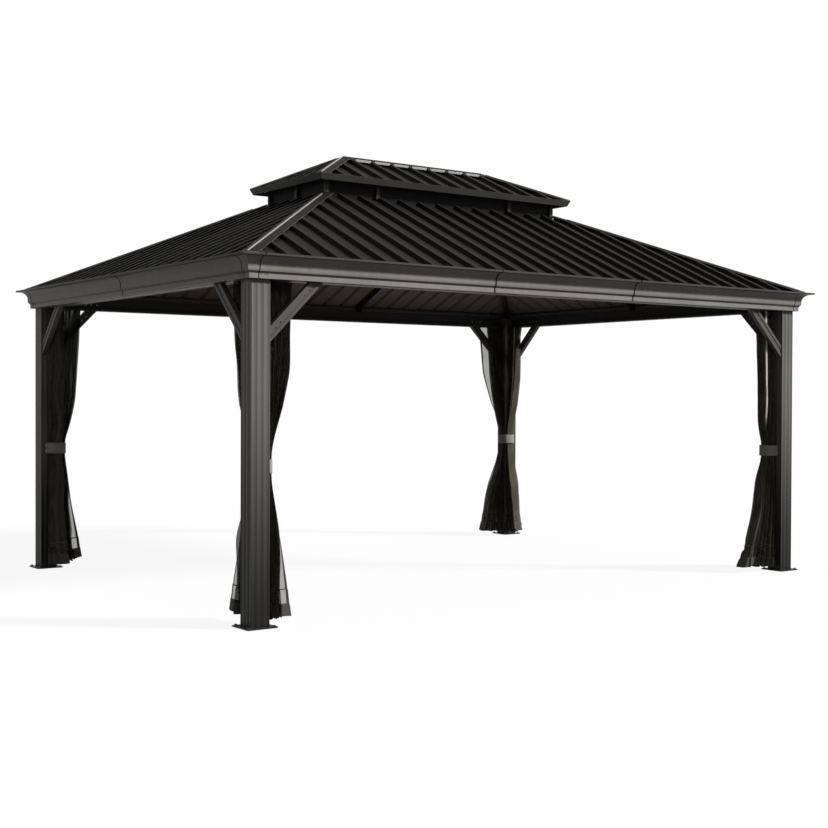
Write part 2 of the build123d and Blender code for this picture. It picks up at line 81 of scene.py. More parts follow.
class GazeboFinishes(bpy.types.PropertyGroup):
    """Colours of the gazebo's finishes."""

    frame: colour_property("Frame paint", "Powder coat on posts", linear(116, 114, 109))
    brace: colour_property("Brace paint", "Powder coat on knee braces", linear(98, 96, 92))
    inner: colour_property("Inner paint", "Powder coat on beams, tracks and rafters", linear(50, 48, 45))
    fascia: colour_property("Fascia paint", "Powder coat on the moulded eave", linear(152, 149, 142))
    roof: colour_property("Roof paint", "Baked coat on the ribbed sheets and caps", linear(42, 40, 38))
    trim: colour_property("Trim paint", "Coat on the upper eave trim", linear(74, 72, 68))
    # Painted highlight: the crests' pale colour stands for light along the rolled edge
    crest: colour_property("Hip crests", "Bright rolled crest along each hip", linear(150, 148, 142))
    underside: colour_property("Sheet underside", "Wash coat under the sheets", linear(186, 174, 157))
    screen: colour_property("Vent screens", "Dark screens between the tiers", linear(24, 24, 24))
    plate: colour_property("Plate paint", "Coat on the foot plates", linear(34, 33, 32))
    # Painted highlight: near-white strips for the light that shows under the ridge cap
    ridge_highlight: colour_property("Closure strips", "Bright strips under the ridge cap", linear(236, 236, 234))
    zinc: colour_property("Fasteners", "Zinc on bolts and screws", linear(150, 150, 148))
    netting: colour_property("Netting yarn", "Yarn of the netting", linear(84, 80, 69))
    tape: colour_property("Hem tape", "Woven tape along the hem", linear(84, 81, 75))
    zip: colour_property("Zip tape", "Pale tape on the edges that zip together", linear(222, 218, 205))
    strap: colour_property("Tie straps", "Webbing of the tie straps", linear(162, 160, 154))


class GazeboNetting(bpy.types.PropertyGroup):
    """Sizes of the netting panels, each cut as one flat sheet."""

    long_width: length_property("Long panel", "Flat width of a panel of a long side", 2.20)
    short_width: length_property("Short panel", "Flat width of a panel of a short side", 1.56)
    lift: length_property("Hem height", "Hem above the ground", 0.03)
    hem: length_property("Hem tape", "Height of the hem tape", 0.068)
    seam: length_property("Seam height", "Second seam above the hem", 0.155)
    binding: length_property("Edge binding", "Width of the tape on the leading edge", 0.026)
    long_pleats: IntProperty(name="Long pleats", description="Pleats of a long panel", default=17, min=2)
    short_pleats: IntProperty(name="Short pleats", description="Pleats of a short panel", default=12, min=2)
    seed: IntProperty(name="Seed", description="Seed of the folds", default=7)


class GazeboFasteners(bpy.types.PropertyGroup):
    """Sizes of bolts and screws."""

    anchor: length_property("Anchor bolt", "Radius of an anchor bolt's head", 0.0095)
    screw: length_property("Screw", "Radius of a screw's head", 0.0055)


class GazeboStage(bpy.types.PropertyGroup):
    """Light and camera."""

    key: FloatProperty(name="Key light", description="Strength of the key light", default=3.6, min=0)
    fill: FloatProperty(name="Fill light", description="Strength of the world's light", default=0.22, min=0)
    floor: colour_property("Floor", "Colour of the floor", (0.9, 0.9, 0.9))
    lens: FloatProperty(name="Lens", description="Focal length in millimetres", default=58.81, min=1)


class Shade:
    """A socket in a node tree, with Python's operators for its Math nodes."""

    def __init__(self, tree, socket=None):
        self.tree = tree
        self.socket = socket

    def node(self, kind, settings=None, sockets=None, output=0):
        """Adds a node, its settings first and then the values or links of its sockets."""
        made = self.tree.nodes.new(kind)
        for name, value in (settings or {}).items():
            setattr(made, name, value)
        for name, value in (sockets or {}).items():
            entry = made.inputs[name]
            if isinstance(value, Shade):
                self.tree.links.new(value.socket, entry)
            elif entry.type == "RGBA" and len(value) == 3:
                entry.default_value = (*value, 1)
            else:
                entry.default_value = value
        return Shade(self.tree, made.outputs[output] if made.outputs else None)

    def math(self, operation, *values):
        return self.node("ShaderNodeMath", {"operation": operation}, dict(enumerate(values)))

    def __add__(self, other):
        return self.math("ADD", self, other)

    def __radd__(self, other):
        return self.math("ADD", other, self)

    def __sub__(self, other):
        return self.math("SUBTRACT", self, other)

    def __rsub__(self, other):
        return self.math("SUBTRACT", other, self)

    def __mul__(self, other):
        return self.math("MULTIPLY", self, other)

    def __rmul__(self, other):
        return self.math("MULTIPLY", other, self)

    def sine(self):
        return self.math("SINE", self)

    def between(self, low, high):
        """0 below low, 1 above high, smooth between them."""
        return self.node(
            "ShaderNodeMapRange",
            {"interpolation_type": "SMOOTHSTEP"},
            {"Value": self, "From Min": low, "From Max": high},
        )

    def place(self):
        """Places on the object, in metres."""
        return self.node("ShaderNodeTexCoord", output="Object")

    def axis(self, name):
        """One coordinate of a vector."""
        return self.node("ShaderNodeSeparateXYZ", sockets={0: self}, output=name)

    def stretched(self, *scale):
        """A vector scaled along each axis."""
        return self.node("ShaderNodeVectorMath", {"operation": "MULTIPLY"}, {0: self, 1: scale})

    def noise(self, scale, detail=2.0):
        """Smooth noise about 0 to 1 at this place."""
        return self.node("ShaderNodeTexNoise", sockets={"Vector": self, "Scale": scale, "Detail": detail})

    def mixed(self, low, high):
        """From one colour to another by this value."""
        settings = {"data_type": "RGBA", "clamp_factor": True}
        return self.node("ShaderNodeMix", settings, {"Factor": self, 6: low, 7: high}, output=2)

    def bump(self, distance, strength=1.0):
        """A surface normal raised by this value, in metres."""
        sockets = {"Height": self, "Distance": distance, "Strength": strength}
        return self.node("ShaderNodeBump", sockets=sockets)


def shaded(colour, share):
    """A colour made lighter or darker by a share."""
    return tuple(min(1.0, c * share) for c in colour)


def new_finish(name, build):
    """A material whose surface is the shader that build makes."""
    material = bpy.data.materials.get(name)
    if material:
        return material
    material = bpy.data.materials.new(name)
    material.use_nodes = True
    tree = material.node_tree
    tree.nodes.clear()
    start = Shade(tree)
    start.node("ShaderNodeOutputMaterial", sockets={"Surface": build(start)})
    return material


def powder_coat(name, colour, roughness, specular, ground_shade=0.0, shade_bands=()):
    """Textured powder coat: fine pebble, faint cloudiness, and painted shade near the ground and in bands of
    height.
    """
    ground_shade_height = 1.62
    fade_out, fade_in = 0.002, 0.001

    def build(start):
        place = start.place()
        cloud = place.stretched(3, 3, 1.1).noise(1.0, 3.0)
        streak = place.stretched(34, 34, 1.2).noise(1.0)
        pebble = place.noise(900.0)
        tone = cloud * 0.6 + streak * 0.4
        base = tone.between(0.3, 0.7).mixed(shaded(colour, 0.9), shaded(colour, 1.1))
        height = place.axis("Z")
        # Painted shade: the coat darkens towards the ground, fading out at this height
        low = (1 - height.between(0.0, ground_shade_height)) * ground_shade
        base = low.mixed(base, shaded(colour, 0.06))
        # Painted shade: each band of height is darkened to 0.28 of the colour
        for bottom, top in shade_bands:
            over_bottom = height.between(bottom - fade_out, bottom + fade_in)
            under_top = 1 - height.between(top - fade_in, top + fade_out)
            base = (over_bottom * under_top).mixed(base, shaded(colour, 0.28))
        return start.node(
            "ShaderNodeBsdfPrincipled",
            sockets={
                "Base Color": base,
                "Roughness": streak * 0.12 + (roughness - 0.06),
                "Specular IOR Level": specular,
                "Normal": pebble.bump(0.0003, 0.25),
            },
        )

    return new_finish(name, build)


def roof_coat(name, colour, underside, across="X", flank_shade=1.0):
    """Baked matt coat above, a paler wash coat below, rain streaks, and painted shade on the ribs' flanks."""

    def build(start):
        place = start.place()
        cloud = place.noise(2.2, 3.0)
        along = place.stretched(26, 26, 2.5).noise(1.0)
        tone = (cloud * 0.55 + along * 0.45).between(0.3, 0.7)
        upper = tone.mixed(shaded(colour, 0.84), shaded(colour, 1.14))
        lower = tone.mixed(shaded(underside, 0.9), shaded(underside, 1.08))
        facing = start.node("ShaderNodeNewGeometry", output="Normal")
        side = start.math("ABSOLUTE", facing.axis(across)).between(0.5, 0.7)
        # Painted shade on the ribs' flanks that face across the given axis, varied by the tone
        upper = (side * tone.between(-0.6, 0.6)).mixed(upper, shaded(colour, flank_shade))
        up = facing.axis("Z").between(-0.2, 0.0)
        return start.node(
            "ShaderNodeBsdfPrincipled",
            sockets={
                "Base Color": up.mixed(lower, upper),
                "Roughness": along * 0.14 + 0.52,
                "Specular IOR Level": 0.03,
                "Normal": place.noise(700.0).bump(0.0003, 0.2),
            },
        )

    return new_finish(name, build)


def screen_sheet(name, colour):
    """Dark sheet pierced by rows of fine holes."""

    def build(start):
        place = start.place()
        hole_pitch = 0.012
        turn = 2 * math.pi / hole_pitch
        x, y, z = ((place.axis(name) * turn).sine() for name in "XYZ")
        holes = (x * y + z).between(0.2, 0.9)
        return start.node(
            "ShaderNodeBsdfPrincipled",
            sockets={
                "Base Color": holes.mixed(colour, shaded(colour, 0.35)),
                "Roughness": holes * 0.2 + 0.6,
                "Specular IOR Level": 0.1,
                "Normal": (1 - holes).bump(0.0006, 0.5),
            },
        )

    return new_finish(name, build)


def bare_metal(name, colour, roughness):
    """Zinc or mill-finish metal with a spangled tone."""

    def build(start):
        place = start.place()
        spangle = place.node("ShaderNodeTexVoronoi", sockets={"Vector": place, "Scale": 420.0})
        tone = spangle.between(0.0, 0.9)
        return start.node(
            "ShaderNodeBsdfPrincipled",
            sockets={
                "Base Color": tone.mixed(shaded(colour, 0.86), colour),
                "Roughness": tone * 0.1 + roughness,
                "Metallic": 0.85,
                "Normal": place.noise(800.0).bump(0.0002, 0.2),
            },
        )

    return new_finish(name, build)


def highlight_strip(name, colour):
    """Near-white strip with a fine pressed texture, a painted highlight."""

    def build(start):
        place = start.place()
        grain = place.noise(260.0)
        return start.node(
            "ShaderNodeBsdfPrincipled",
            sockets={
                "Base Color": grain.between(0.3, 0.7).mixed(shaded(colour, 0.92), colour),
                "Roughness": grain * 0.1 + 0.4,
                "Normal": grain.bump(0.0004, 0.3),
            },
        )

    return new_finish(name, build)


def flat_cloth(start):
    """Places on the flat cloth, in metres across and down."""
    return start.node("ShaderNodeUVMap", {"uv_map": "flat"})


def net_cloth(name, colour):
    """Open net: yarns both ways with see-through holes between them."""

    def build(start):
        flat = flat_cloth(start)
        yarn_pitch = 0.0034
        turn = 2 * math.pi / yarn_pitch
        weave = (flat.axis("X") * turn).sine() * 0.5 + (flat.axis("Y") * turn).sine() * 0.5
        cloud = flat.noise(5.0)
        cover = weave * 0.12 + cloud * 0.16 + 0.58
        return start.node(
            "ShaderNodeBsdfPrincipled",
            sockets={
                "Base Color": cloud.between(0.3, 0.7).mixed(shaded(colour, 0.8), shaded(colour, 1.25)),
                "Roughness": cloud * 0.1 + 0.62,
                "Alpha": cover,
                "Specular IOR Level": 0.2,
                "Normal": weave.bump(0.0005, 0.4),
            },
        )

    return new_finish(name, build)


def woven_tape(name, colour, pitch):
    """Dense woven tape or webbing, ribbed across its length."""

    def build(start):
        flat = flat_cloth(start)
        turn = 2 * math.pi / pitch
        rib = (flat.axis("X") * turn).sine() * 0.5 + 0.5
        twill = ((flat.axis("X") + flat.axis("Y")) * turn).sine() * 0.5 + 0.5
        cloud = flat.noise(14.0)
        tone = (rib * 0.3 + twill * 0.3 + cloud * 0.4).between(0.2, 0.8)
        return start.node(
            "ShaderNodeBsdfPrincipled",
            sockets={
                "Base Color": tone.mixed(shaded(colour, 0.78), shaded(colour, 1.12)),
                "Roughness": cloud * 0.1 + 0.7,
                "Specular IOR Level": 0.25,
                "Normal": (rib + twill).bump(0.0006, 0.5),
            },
        )

    return new_finish(name, build)


def add_piece(name, mesh, *materials, smooth=True):
    """A new piece from a mesh that is already in its place."""
    for material in materials:
        mesh.materials.append(material)
    for face in mesh.polygons:
        face.use_smooth = smooth
    piece = bpy.data.objects.new(name, mesh)
    bpy.context.scene.collection.objects.link(piece)
    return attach(piece, "root")


def skin(shape, rings):
    """Faces along a row of closed rings of vertices, with a face over each end."""
    for near, far in zip(rings, rings[1:]):
        for a in range(len(near)):
            b = (a + 1) % len(near)
            shape.faces.new((near[a], near[b], far[b], far[a]))
    shape.faces.new(rings[0][::-1])
    shape.faces.new(rings[-1])


def side_ways(line):
    """At each point of a line in a plane, the direction square to the line, to its right."""
    ways = [(far - near).normalized() for near, far in zip(line, line[1:])]
    ways = [ways[0], *[(a + b).normalized() for a, b in zip(ways, ways[1:])], ways[-1]]
    return [Vector((way.y, -way.x)) for way in ways]


def finished_mesh(name, shape):
    """A mesh from a shape, which is freed."""
    mesh = bpy.data.meshes.new(name)
    shape.to_mesh(mesh)
    shape.free()
    return mesh


def paint(material, *names):
    """Gives CAD nodes a material, all those whose name ends in one of the names."""
    for name, node in nodes.items():
        if name.endswith(names):
            node.data.materials.clear()
            node.data.materials.append(material)


class GAZEBO_OT_paint_frame(bpy.types.Operator):
    """Paints posts, beams, braces, tracks, rafters and foot plates"""

    bl_idname = "gazebo.paint_frame"
    bl_label = "Paint frame"

    def execute(self, context):
        finishes = context.scene.gazebo_finishes
        # The posts' coat is darkened towards the ground as painted shade
        coat = powder_coat("frame_powder_coat", finishes.frame, roughness=0.46, specular=0.12, ground_shade=0.97)
        paint(coat, "_post")
        coat = powder_coat("brace_powder_coat", finishes.brace, roughness=0.46, specular=0.12)
        paint(coat, "_knee_braces")
        inner = powder_coat("inner_powder_coat", finishes.inner, roughness=0.5, specular=0.15)
        paint(inner, "_beam", "tracks", "rafters", "curb", "stub_posts", "roof_frame")
        paint(screen_sheet("vent_screen", finishes.screen), "vent_screens")
        paint(powder_coat("plate_powder_coat", finishes.plate, roughness=0.5, specular=0.3), "_foot_plate")
        return {"FINISHED"}


class GAZEBO_OT_paint_fascia(bpy.types.Operator):
    """Paints the moulded eave fascias and their corner pieces"""

    bl_idname = "gazebo.paint_fascia"
    bl_label = "Paint fascia"

    def execute(self, context):
        finishes = context.scene.gazebo_finishes
        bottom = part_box("front_fascia")[0].z
        # Painted shade at the lower edge, in the groove under the bead, and on the lip, as heights above the
        # lower edge
        shade_heights = ((-0.010, 0.001), (0.029, 0.041), (0.122, 0.150))
        shade_bands = [(bottom + start, bottom + stop) for start, stop in shade_heights]
        coat = powder_coat(
            "fascia_powder_coat", finishes.fascia, roughness=0.4, specular=0.06, shade_bands=shade_bands
        )
        paint(coat, "_fascia", "_fascia_corner")
        return {"FINISHED"}


class GAZEBO_OT_paint_roof(bpy.types.Operator):
    """Paints the ribbed sheets, caps and upper eave trim"""

    bl_idname = "gazebo.paint_roof"
    bl_label = "Paint roof"

    def execute(self, context):
        finishes = context.scene.gazebo_finishes
        coat = roof_coat("roof_coat_flank_shade", finishes.roof, finishes.underside, across="X", flank_shade=0.62)
        paint(coat, "roof_front", "roof_back")
        # Painted light: the side slopes take a lighter copy of the roof paint, with strong painted shade on
        # their flanks
        lit_side_roof = shaded(finishes.roof, 1.3)
        coat = roof_coat("side_coat_painted_light_and_shade", lit_side_roof, finishes.underside, across="Y", flank_shade=0.14)
        paint(coat, "roof_left", "roof_right")
        # Painted shade: the caps take a darker copy of the roof paint
        coat = roof_coat("cap_coat_painted_shade", shaded(finishes.roof, 0.72), finishes.underside)
        paint(coat, "hip_caps", "ridge_cap")
        paint(powder_coat("trim_baked_coat", finishes.trim, roughness=0.5, specular=0.12), "eave_trim")
        return {"FINISHED"}


class GAZEBO_OT_fit_ridge_highlights(bpy.types.Operator):
    """Fits near-white strips between the ribs, under the ridge cap, as painted highlights"""

    bl_idname = "gazebo.fit_closures"
    bl_label = "Fit closures"

    def execute(self, context):
        low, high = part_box("ridge_cap")
        rib_pitch, rib_base = 0.169, 0.046
        pan = (rib_pitch - rib_base) / 2
        wide, narrow = pan + 0.0068, pan + 0.0038
        top, foot = 0.0055, -0.0105
        outline = [(-wide, top), (wide, top), (wide, 0.0), (narrow, foot), (-narrow, foot), (-wide, 0.0)]
        thick, soft_edge = 0.0038, 0.0008
        proud, drop = 0.004, 0.002
        shape = bmesh.new()
        half = int((high.x - rib_base) / rib_pitch)
        for side in (-1, 1):
            edge = Vector((0, side * (high.y + proud), low.z - drop))
            up = Vector((0, side * math.sin(roof_slope), math.cos(roof_slope)))
            back = Vector((0, -side * math.cos(roof_slope), math.sin(roof_slope)))
            for index in range(-half, half + 1):
                middle = edge + Vector((index * rib_pitch, 0, 0))
                front = [shape.verts.new(middle + Vector((x, 0, 0)) + up * z) for x, z in outline]
                rear = [shape.verts.new(v.co + back * thick) for v in front]
                skin(shape, [rear, front])
        bmesh.ops.recalc_face_normals(shape, faces=shape.faces)
        bmesh.ops.bevel(shape, geom=shape.edges, offset=soft_edge, segments=2, affect="EDGES")
        strips = finished_mesh("ridge_highlight_strips", shape)
        # Painted highlight: the strips' near-white colour
        finish = highlight_strip("ridge_painted_highlight", context.scene.gazebo_finishes.ridge_highlight)
        add_piece("ridge_highlight_strips", strips, finish, smooth=False)
        return {"FINISHED"}


class GAZEBO_OT_darken_seams(bpy.types.Operator):
    """Covers the fascias' seams by dark strips that follow the moulded face, marking the real joints with
    painted shade of their gaps
    """

    bl_idname = "gazebo.seal_seams"
    bl_label = "Seal seams"

    def face_line(self):
        """Points up the moulded face, out from the beam and up from the lower edge, with normals."""
        band, band_top = 0.029, 0.030
        bead_out, bead_up, bead_radius = 0.0015, 0.061, 0.0425
        cove_out, cove_up, cove_radius = 0.098, 0.070, 0.054
        lip, lip_low, lip_high = 0.112, 0.124, 0.136
        bead = [
            (bead_out + bead_radius * math.cos(a), bead_up - bead_radius * math.sin(a))
            for a in np.linspace(0.49, 0, 5)
        ]
        cove = [
            (cove_out - cove_radius * math.cos(a), cove_up + cove_radius * math.sin(a))
            for a in np.linspace(0, math.pi / 2, 9)
        ]
        line = [(band, 0.0), (band, band_top), *bead, *cove, (lip, lip_low), (lip, lip_high)]
        line = [Vector(spot) for spot in line]
        return list(zip(line, side_ways(line)))

    def execute(self, context):
        shape = bmesh.new()
        line = self.face_line()
        middle_half, corner_half = 0.006, 0.003
        edge, proud = 0.0003, 0.0012
        corner_gap = 0.0035
        long_seams = (-0.605, 0.605)
        for side, (nx, ny) in sides.items():
            out = Vector((nx, ny, 0))
            along = Vector((-ny, nx, 0))
            low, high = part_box(f"{side}_fascia")
            face = max(abs(v.dot(out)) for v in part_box(f"{side}_beam"))
            end = max(abs(high.dot(along)), abs(low.dot(along))) + corner_gap
            middle = long_seams if side in ("front", "back") else (0.0,)
            strips = [(-end, corner_half), *((m, middle_half) for m in middle), (end, corner_half)]
            for spot, half in strips:
                crown = half * 0.8
                section = [(-half, edge), (-crown, proud), (crown, proud), (half, edge)]
                rows = []
                for place, way in line:
                    ring = []
                    for shift, stand in section:
                        u, z = place + way * stand
                        point = along * (spot + shift) + out * (face + u) + Vector((0, 0, low.z + z))
                        ring.append(shape.verts.new(point))
                    rows.append(ring)
                skin(shape, rows)
        bmesh.ops.recalc_face_normals(shape, faces=shape.faces)
        # Painted shade: the strips' near-black colour stands for the shadow in each seam's gap
        seam_shade = shaded(context.scene.gazebo_finishes.screen, 0.5)
        finish = powder_coat("seam_joint_shade", seam_shade, roughness=0.7, specular=0.1)
        seals = finished_mesh("fascia_seam_shade", shape)
        add_piece("fascia_seam_shade", seals, finish, smooth=False)
        return {"FINISHED"}


class GAZEBO_OT_roll_crests(bpy.types.Operator):
    """Runs a rolled crest along each hip of both tiers, its pale colour a painted highlight"""

    bl_idname = "gazebo.roll_crests"
    bl_label = "Roll crests"

    def execute(self, context):
        rise = math.tan(roof_slope)
        half_width, crown, sunk = 0.006, 0.0055, 0.001
        foot_lift = 0.025
        lengths, turns = 24, 8
        shape = bmesh.new()
        for caps in ("lower_hip_caps", "upper_hip_caps"):
            low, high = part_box(caps)
            foot = Vector((high.x, high.y, low.z + foot_lift))
            run = (high.z - foot.z) / rise
            head = Vector((high.x - run, high.y - run, high.z))
            slant = (head - foot).normalized()
            level = Vector((1, -1, 0)).normalized()
            up = level.cross(slant)
            up = up if up.z > 0 else -up
            for sx, sy in corners.values():
                rings = []
                for step in range(lengths + 1):
                    middle = foot.lerp(head, 0.004 + 0.94 * step / lengths)
                    ring = []
                    for turn in range(turns + 1):
                        angle = math.pi * (turn / turns * 1.2 - 0.1)
                        sideways = level * half_width * math.cos(angle)
                        spot = middle + sideways + up * (crown * math.sin(angle) - sunk)
                        ring.append(shape.verts.new((sx * spot.x, sy * spot.y, spot.z)))
                    rings.append(ring)
                skin(shape, rings)
        bmesh.ops.recalc_face_normals(shape, faces=shape.faces)
        # Painted highlight: pale coat on the rolled crests
        finish = powder_coat("crest_painted_highlight", context.scene.gazebo_finishes.crest, roughness=0.34, specular=0.5)
        add_piece("hip_crest_highlights", finished_mesh("hip_crest_highlights", shape), finish)
        return {"FINISHED"}


def add_bolt(shape, seat, facing, radius):
    """A hex-headed bolt with a washer and a domed head, standing on a seat."""
    turn = facing.to_track_quat("Z", "Y").to_matrix().to_4x4()
    stack = ((24, 1.35, 1.35, 0.0, 0.22), (6, 1.0, 0.94, 0.22, 0.85), (12, 0.62, 0.3, 0.85, 1.0))
    for segments, foot, crown, start, stop in stack:
        middle = Matrix.Translation((0, 0, radius * (start + stop) / 2))
        bmesh.ops.create_cone(
            shape,
            cap_ends=True,
            segments=segments,
            radius1=radius * foot,
            radius2=radius * crown,
            depth=radius * (stop - start),
            matrix=Matrix.Translation(seat) @ turn @ middle,
        )


def add_screw(shape, seat, facing, radius):
    """A low domed screw head with a recess in its crown."""
    turn = facing.to_track_quat("Z", "Y").to_matrix().to_4x4()
    rings = ((1.0, 0.0), (1.0, 0.2), (0.82, 0.42), (0.45, 0.55), (0.34, 0.55), (0.22, 0.3))
    around = 16
    rows = []
    for share, rise in rings:
        row = []
        for step in range(around):
            angle = 2 * math.pi * step / around
            spot = Vector((math.cos(angle) * share, math.sin(angle) * share, rise)) * radius
            row.append(shape.verts.new(seat + turn.to_3x3() @ spot))
        rows.append(row)
    skin(shape, rows)


class GAZEBO_OT_fit_fasteners(bpy.types.Operator):
    """Fits anchor bolts on the foot plates, and screws on braces, beams and fascias"""

    bl_idname = "gazebo.fit_fasteners"
    bl_label = "Fit fasteners"

    def execute(self, context):
        sizes = context.scene.gazebo_fasteners
        finishes = context.scene.gazebo_finishes
        bolts = bmesh.new()
        screws = bmesh.new()
        inner_screws = bmesh.new()
        up = Vector((0, 0, 1))
        anchor_offset = 0.08
        brace_leg, brace_face, brace_back = 0.306, 0.011, 0.039
        beam_back, beam_screw_height = 0.050, 0.048
        band, band_screw_height = 0.029, 0.026
        for corner in corners:
            low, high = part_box(f"{corner}_foot_plate")
            middle = (low + high) / 2
            for dx in (-anchor_offset, anchor_offset):
                for dy in (-anchor_offset, anchor_offset):
                    add_bolt(bolts, Vector((middle.x + dx, middle.y + dy, high.z)), up, sizes.anchor)
        for side, (nx, ny) in sides.items():
            out = Vector((nx, ny, 0))
            along = Vector((-ny, nx, 0))
            low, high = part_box(f"{side}_beam")
            half = max(abs(high.dot(along)), abs(low.dot(along)))
            outer = max(high.dot(out), low.dot(out))
            band_low, band_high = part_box(f"{side}_fascia")
            band_end = max(abs(band_high.dot(along)), abs(band_low.dot(along)))
            for end in (-1, 1):
                for inset in (0.042, 0.075):
                    for reach, drop in ((inset, brace_leg - inset), (brace_leg - inset, inset)):
                        spot = along * end * (half - reach) + up * (low.z - drop)
                        add_screw(screws, spot + out * (outer - brace_face), out, sizes.screw)
                        add_screw(inner_screws, spot + out * (outer - brace_back), -out, sizes.screw)
                for reach in (0.262, 0.300, 0.350):
                    spot = along * end * (half - reach) + out * (outer - beam_back)
                    add_screw(inner_screws, spot + up * (low.z + beam_screw_height), -out, sizes.screw * 1.2)
                for reach in (0.012, 0.036, 0.052):
                    spot = along * end * (band_end - reach) + out * (outer + band)
                    add_screw(screws, spot + up * (band_low.z + band_screw_height), out, sizes.screw * 0.75)
        zinc = bare_metal("zinc_plate", finishes.zinc, roughness=0.36)
        coated = powder_coat("screw_coat", finishes.plate, roughness=0.4, specular=0.5)
        anchor_mesh = finished_mesh("anchor_bolts", bolts)
        add_piece("anchor_bolts", anchor_mesh, coated, smooth=False)
        outer_mesh = finished_mesh("outer_screws", screws)
        add_piece("outer_screws", outer_mesh, coated, smooth=False)
        inner_mesh = finished_mesh("inner_screws", inner_screws)
        add_piece("inner_screws", inner_mesh, zinc, smooth=False)
        return {"FINISHED"}


def eased(values, rounds):
    """A row of values smoothed along its length, its ends kept."""
    values = np.array(values, float)
    for _ in range(rounds):
        values[1:-1] = values[:-2] / 4 + values[1:-1] / 2 + values[2:] / 4
    return values


def smooth_step(values):
    """0 below 0, 1 above 1, smooth between them."""
    share = np.clip(values, 0, 1)
    return share * share * (3 - 2 * share)


def inner_edge(corner):
    """How far out the two inner faces of a corner's post stand, in X and in Y."""
    low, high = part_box(f"{corner}_post")
    return min(abs(low.x), abs(high.x)), min(abs(low.y), abs(high.y))


